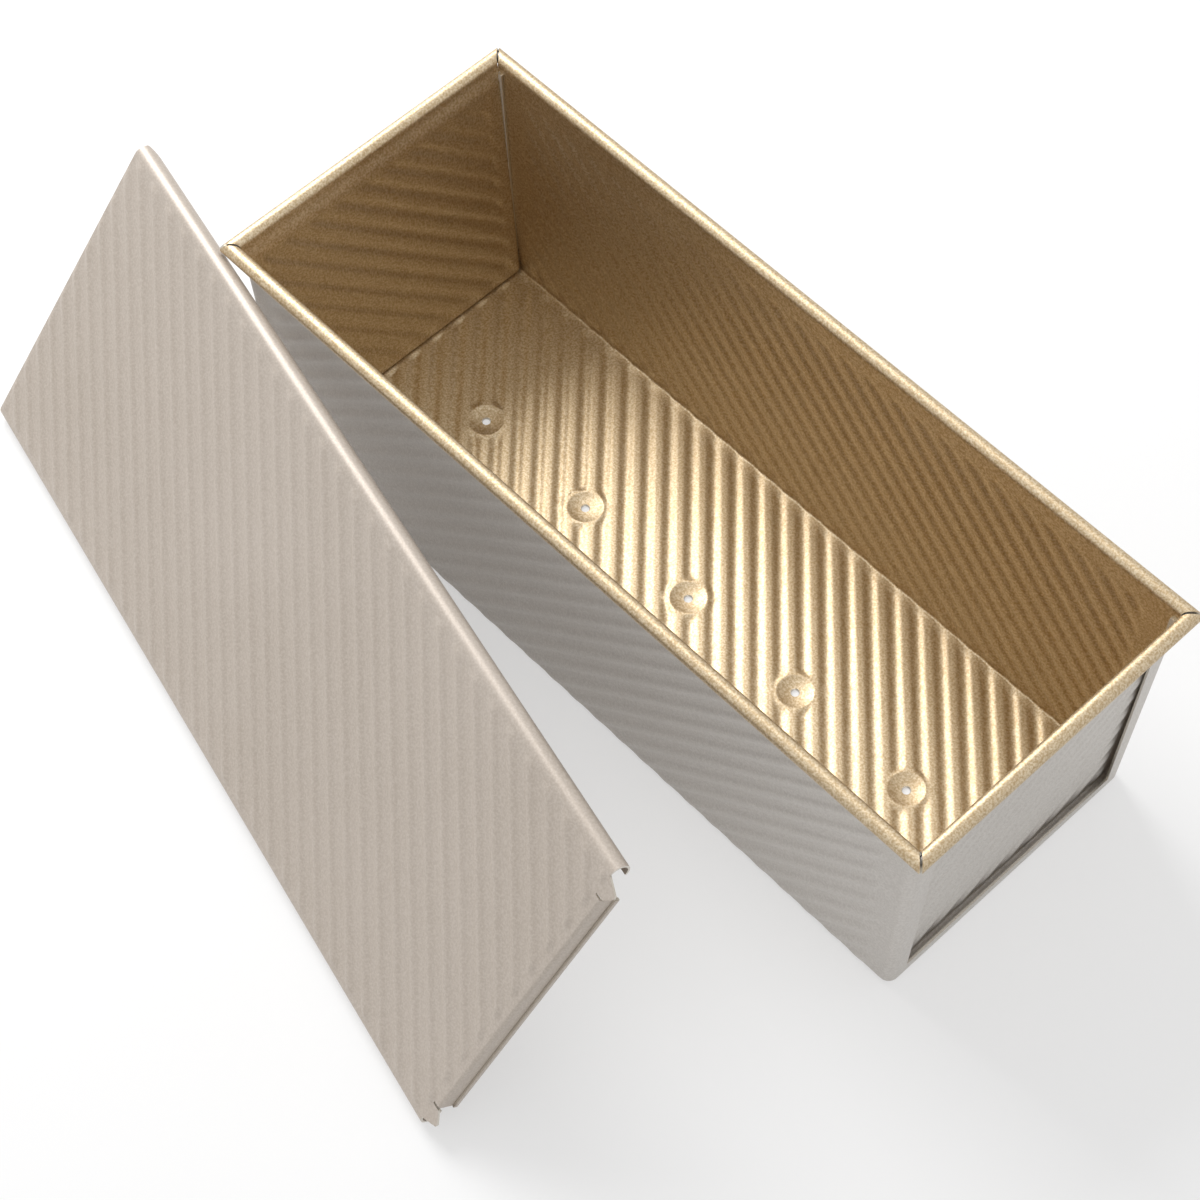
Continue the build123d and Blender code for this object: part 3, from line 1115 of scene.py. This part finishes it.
@dataclass
class SlideLid:
    """Ribbed lid plate with a curled rail down each long side, a hemmed stop flange and two ears."""

    ribs: RibPress = field(default_factory=lambda: RibPress(phase=4.75, height=0.78, foot=5.2))
    top_z: float = 114.3
    entry_x: float = -164.6
    rail_end_x: float = 163.2
    rail_reach: float = 62.3
    rail_height: float = 110.3
    rail_radius: float = 4.0
    rail_hook: float = -105.0
    lead_in: float = 10.0
    lead_drop: float = 4.1
    stop_x: float = 166.2
    stop_half_width: float = 53.5
    stop_fold: float = 1.2
    stop_foot_z: float = 106.4
    hem_height: float = 2.2
    hem_pinch: float = 0.04
    ear_inner: float = 54.3
    ear_tip_x: float = 170.2
    ear_tip_y: float = 59.0
    ear_foot_x: float = 166.4
    ear_round: float = 0.5
    ear_least: float = 0.05
    field_entry_x: float = -164.5
    field_stop_x: float = 163.0
    field_half_width: float = 62.2
    taper: float = 1.7
    lean_angle: float = 54.6
    lean_yaw: float = -13.0
    lean_foot: tuple[float, float, float] = (-235.4, -125.2, 4.1)

    def cross_lines(self) -> Array:
        """Lines of the plate across the lid, with the flange's and ears' own edges among them."""
        even = rows_between(-self.stop_half_width, self.stop_half_width, 0.0)
        side = np.linspace(self.ear_inner, self.rail_reach, 9)
        return np.concatenate([-side[::-1], even, side])

    def leaning(self) -> Matrix:
        """Carries the lid from its closed place to where it leans against the pan."""
        return (
            Matrix.Translation(Vector(self.lean_foot))
            @ Matrix.Rotation(math.radians(self.lean_yaw), 4, "Z")
            @ Matrix.Rotation(math.radians(self.lean_angle), 4, "X")
            @ Matrix.Translation(Vector((-self.entry_x, self.rail_reach, -self.rail_height)))
        )

    def lay_plate(self, sheet: PressedSheet, x: Array, y: Array) -> None:
        """Presses the ribbed plate."""
        grid_x, grid_y = np.meshgrid(x, y)
        rise = self.ribs.rise(grid_x + grid_y)
        rise = rise * run_out(grid_x, self.field_entry_x, self.field_stop_x, self.taper)
        rise = rise * run_out(grid_y, -self.field_half_width, self.field_half_width, self.taper)
        up = stack(np.zeros_like(grid_x), 0.0, 1.0)
        sheet.press(stack(grid_x, grid_y, self.top_z), up, rise)

    def curl_rail(self, sheet: PressedSheet, x: Array, side: int) -> None:
        """Curls the rail of one long side, cut back at its entry."""
        turns = np.radians(np.linspace(90.0, self.rail_hook, 26))
        y = self.rail_reach + self.rail_radius * np.cos(turns)
        z = self.rail_height + self.rail_radius * np.sin(turns)
        cut = np.clip(self.rail_height - z, 0, self.lead_drop) / self.lead_drop * self.lead_in
        share = (x - x[0]) / (x[-1] - x[0])
        columns = x[0] + cut[:, None] + (x[-1] - x[0] - cut[:, None]) * share[None]
        points = stack(columns, side * y[:, None], z[:, None])
        out = stack(np.zeros_like(columns), side * np.cos(turns)[:, None], np.sin(turns)[:, None])
        sheet.press(points, out)

    def fold_stop(self, sheet: PressedSheet, y: Array) -> None:
        """Folds the stop flange down from the plate and hems its foot outwards."""
        fold, pinch = self.stop_fold, self.hem_pinch
        fold_x, fold_z = self.stop_x - fold, self.top_z - fold
        turn_z = self.stop_foot_z + sheet.thickness
        # Each row has its X, its Z and the same two parts of its normal.
        rows = [(x, self.top_z, 0.0, 1.0) for x in (self.rail_end_x, (self.rail_end_x + fold_x) / 2)]
        for turn in np.linspace(math.pi / 2, 0, 7):
            away, up = np.cos(turn), np.sin(turn)
            rows.append((fold_x + fold * away, fold_z + fold * up, away, up))
        rows += [(self.stop_x, z, 1.0, 0.0) for z in np.linspace(fold_z, turn_z, 6)[1:]]
        for turn in np.linspace(0, math.pi, 9)[1:]:
            away, up = np.cos(turn), np.sin(turn)
            rows.append((self.stop_x + pinch * (1 - away), turn_z - pinch * up, away, up))
        for share in (0.4, 0.8, 1.0):
            high = turn_z + share * (self.hem_height - sheet.thickness)
            rows.append((self.stop_x + 2 * pinch, high, -1.0, 0.0))
        x, z, nx, nz = np.array(rows).T
        points = stack(x[:, None] + 0 * y[None], y[None], z[:, None])
        normals = stack(nx[:, None] + 0 * y[None], 0.0, nz[:, None])
        sheet.press(points, normals)

    def cut_ear(self, sheet: PressedSheet, y: Array, side: int) -> None:
        """Leaves a flat triangular ear at one corner of the stop end."""
        tip_x, tip_y = self.ear_tip_x, self.ear_tip_y
        upper = (tip_x - self.rail_end_x) * (self.rail_reach - y) / (self.rail_reach - tip_y)
        slant = (tip_x - self.ear_foot_x) * (y - self.ear_inner) / (tip_y - self.ear_inner)
        lower = self.ear_foot_x - self.rail_end_x + slant
        blunt = self.ear_round * np.exp(-np.abs(y - tip_y))
        reach = np.maximum(np.minimum(upper, lower) - blunt, self.ear_least)
        share = np.linspace(0, 1, 6)
        x = self.rail_end_x + reach[:, None] * share[None]
        points = stack(x, side * y[:, None], self.top_z)
        sheet.press(points, stack(np.zeros_like(x), 0.0, 1.0))

    def build(self, finishes: Skins) -> bpy.types.Object:
        """Presses, curls and folds the lid, and leans it in place.

        Args:
            finishes: material of each skin.

        Returns:
            The finished piece, which stands for its CAD node.
        """
        sheet = PressedSheet()
        x = np.array(rows_between(self.entry_x, self.rail_end_x, self.ribs.phase))
        y = self.cross_lines()
        self.lay_plate(sheet, x, y)
        for side in (1, -1):
            self.curl_rail(sheet, x, side)
            self.cut_ear(sheet, y[y > self.stop_half_width + LINE_SLACK], side)
        self.fold_stop(sheet, y[np.abs(y) < self.stop_half_width + LINE_SLACK])
        piece = sheet.form("slide_on_lid", finishes, self.leaning())
        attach(piece, Rider.LID.value)
        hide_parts("lid_panel")
        return piece


@dataclass
class RimWire:
    """Steel wire inside the rolled rim, which shows only in the gaps of the mitres."""

    def dress(self, node: bpy.types.Object) -> bpy.types.Object:
        """Gives the CAD wire its drawn steel finish and returns it."""
        steel = RIM_WIRE_STEEL.build()
        node.data.materials.clear()
        node.data.materials.append(steel)
        return node


@dataclass
class Studio:
    """White table in pale surroundings with one softbox, and the camera of the product picture."""

    floor_half: float = 2.4
    floor_drop: float = 0.0002
    floor_cells: int = 24
    floor_colour: str = "#F7F7F7"
    floor_pale: str = "#FAFAFA"
    floor_mottle: float = 180.0
    floor_lift: float = 0.5
    world_fill: float = 0.6
    fade_start: float = 0.5
    fade_end: float = 1.7
    lamp_place: tuple[float, float, float] = (-0.98, 0.16, 0.98)
    lamp_target: tuple[float, float, float] = (0.0, 0.0, 0.05)
    lamp_size: float = 0.8
    lamp_power: float = 15.5
    lens: float = 90.4
    camera_place: tuple[float, float, float] = (397.6, -400.5, 928.1)
    camera_azimuth: float = 48.02
    camera_elevation: float = 58.69
    camera_roll: float = -1.74

    def background_rays(self, tree: bpy.types.NodeTree) -> bpy.types.NodeSocket:
        """Picks the rays that see the pale background.

        Args:
            tree: the node tree that the nodes go into.

        Returns:
            A socket that is one for camera, glossy and transmission rays, and otherwise zero.
        """
        path = add_node(tree, "LightPath").outputs
        seen = path["Is Camera Ray"]
        for kind in ("Is Glossy Ray", "Is Transmission Ray"):
            seen = add_node(tree, "Math", {0: seen, 1: path[kind]}, operation="MAXIMUM").outputs[0]
        return seen

    def lay_floor(self) -> bpy.types.Object:
        """Lays the pale table that the pan and the lid stand on, and returns it."""
        mesh = bpy.data.meshes.new("studio_table")
        cells = self.floor_cells
        lines = np.linspace(-self.floor_half, self.floor_half, cells + 1)
        points = [(float(x), float(y), -self.floor_drop) for y in lines for x in lines]
        starts = [row * (cells + 1) + column for row in range(cells) for column in range(cells)]
        faces = [(i, i + 1, i + cells + 2, i + cells + 1) for i in starts]
        mesh.from_pydata(points, [], faces)
        material = bpy.data.materials.new("matt_white_board")
        tree = blank_tree(material)
        place = add_node(tree, "TexCoord").outputs["Object"]
        mottle = add_node(
            tree, "TexNoise", {"Vector": place, "Scale": per_mm(self.floor_mottle), "Detail": 2.0}
        ).outputs["Fac"]
        colour = add_node(
            tree,
            "Mix",
            {"Factor": mottle, 6: linear(self.floor_colour), 7: linear(self.floor_pale)},
            data_type="RGBA",
        ).outputs[2]
        shader = add_node(tree, "BsdfPrincipled", {"Base Color": colour, "Roughness": 0.9})
        # Part of the board shows as plain white where it is seen or mirrored, so its shadows stay pale.
        away = add_node(tree, "VectorMath", {0: place}, operation="LENGTH").outputs["Value"]
        share = add_node(
            tree,
            "MapRange",
            {
                "Value": away,
                "From Min": self.fade_start,
                "From Max": self.fade_end,
                "To Min": self.floor_lift,
            },
            interpolation_type="SMOOTHSTEP",
        ).outputs["Result"]
        seen = self.background_rays(tree)
        lift = add_node(tree, "Math", {0: seen, 1: share}, operation="MULTIPLY").outputs[0]
        glow = add_node(tree, "Emission", {"Color": WHITE, "Strength": 1.0}).outputs[0]
        mixed = add_node(tree, "MixShader", {0: lift, 1: shader.outputs["BSDF"], 2: glow}).outputs[0]
        add_node(tree, "OutputMaterial", {"Surface": mixed})
        mesh.materials.append(material)
        table = add_object("studio_table", mesh)
        return table

    def light_world(self) -> None:
        """Makes the surroundings white where they are seen or mirrored, and softer as a light."""
        world = bpy.data.worlds.new("white_studio")
        bpy.context.scene.world = world
        tree = blank_tree(world)
        fill = add_node(tree, "Background", {"Color": WHITE, "Strength": self.world_fill}).outputs[0]
        plain = add_node(tree, "Background", {"Color": WHITE, "Strength": 1.0}).outputs[0]
        seen = self.background_rays(tree)
        mixed = add_node(tree, "MixShader", {0: seen, 1: fill, 2: plain}).outputs[0]
        add_node(tree, "OutputWorld", {"Surface": mixed})

    def hang_lamp(self) -> None:
        """Hangs the square softbox and turns it to its target."""
        lamp = bpy.data.lights.new("overhead_softbox", "AREA")
        lamp.shape = "SQUARE"
        lamp.size = self.lamp_size
        lamp.energy = self.lamp_power
        holder = add_object("overhead_softbox", lamp)
        holder.location = self.lamp_place
        aim = Vector(self.lamp_target) - Vector(self.lamp_place)
        holder.rotation_euler = aim.to_track_quat("-Z", "Y").to_euler()

    def place_camera(self) -> None:
        """Places the camera at the picture's viewpoint."""
        camera = bpy.data.cameras.new("product_camera")
        camera.sensor_width = 36.0
        camera.lens = self.lens
        camera.clip_start = 0.05
        camera.clip_end = 30.0
        holder = add_object("product_camera", camera)
        holder.matrix_world = (
            Matrix.Translation(Vector(self.camera_place) * MM)
            @ Matrix.Rotation(math.radians(self.camera_azimuth), 4, "Z")
            @ Matrix.Rotation(math.radians(90.0 - self.camera_elevation), 4, "X")
            @ Matrix.Rotation(math.radians(self.camera_roll), 4, "Z")
        )
        bpy.context.scene.camera = holder

    def build(self) -> None:
        """Sets up the table, the light, the camera and the plain colour transform."""
        self.lay_floor()
        self.light_world()
        self.hang_lamp()
        self.place_camera()
        bpy.context.scene.view_settings.view_transform = "Standard"


def main() -> None:
    """Builds the pan, its lid and the studio, and reports each piece."""
    logging.basicConfig(level=logging.INFO, format="%(name)s: %(message)s")
    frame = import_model()
    champagne, grey, lid_grey, edge = (
        coat.build() for coat in (CHAMPAGNE_COAT, GREY_COAT, LID_COAT, SHEARED_EDGE)
    )
    pan_skins = {Skin.FOOD: champagne, Skin.BACK: grey, Skin.EDGE: edge}
    lid_skins = {Skin.FOOD: lid_grey, Skin.BACK: lid_grey, Skin.EDGE: edge}
    made = [
        PanWrap().build(pan_skins),
        EndPanel(End.NEAR).build("near_end_sheet", "end_panel_right", pan_skins),
        EndPanel(End.FAR).build("far_end_sheet", "end_panel_left", pan_skins),
        RimWire().dress(frame["nodes"]["rim_wire"]),
        SlideLid().build(lid_skins),
    ]
    for piece in made:
        LOG.info("%s: %d faces", piece.name, len(piece.data.polygons))
    Studio().build()


if __name__ == "__main__":
    main()
